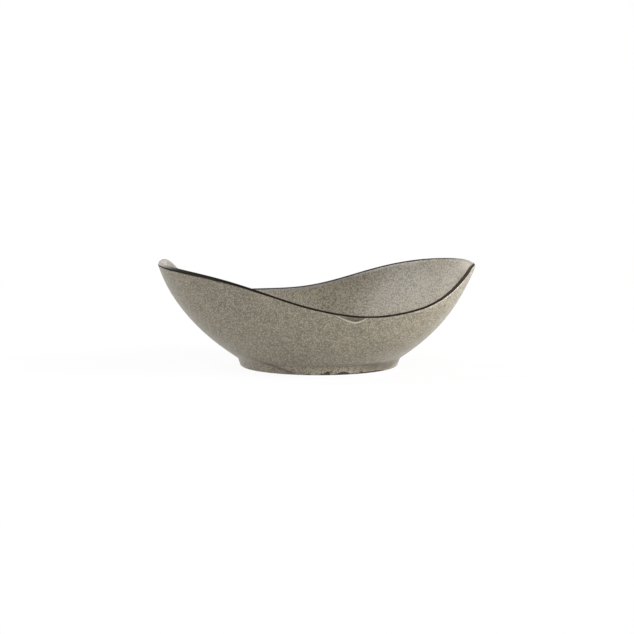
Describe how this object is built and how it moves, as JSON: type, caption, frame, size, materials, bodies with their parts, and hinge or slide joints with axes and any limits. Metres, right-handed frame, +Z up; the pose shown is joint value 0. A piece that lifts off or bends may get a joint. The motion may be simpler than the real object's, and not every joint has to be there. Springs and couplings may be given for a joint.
{
  "type": "oval bowl",
  "caption": "Oval stoneware serving bowl with two raised tips, a swept saddle-shaped rim, speckled glaze, a dark band along the lip and a low oval foot.",
  "frame": {"origin": "middle of the bowl's length and width, on the surface that it stands on", "axes": "+X along the bowl to one tip, +Z up, -Y the long side with the sag in its rim"},
  "size_m": [0.2602, 0.151, 0.0869],
  "materials": {
    "stoneware_clay": "bare fired stoneware, dark brown and matt",
    "speckled_glaze": "satin grey-beige glaze with fine pale and dark speckle",
    "rim_glaze": "glossy dark brown, where the glaze breaks over the lip"
  },
  "bodies": {
    "root": {"bowl_wall": "stoneware_clay", "foot_ring": "stoneware_clay", "outer_glaze": "speckled_glaze", "inner_glaze": "speckled_glaze", "foot_glaze": "speckled_glaze", "base_glaze": "speckled_glaze", "rim_band": "rim_glaze"}
  },
  "joints": []
}
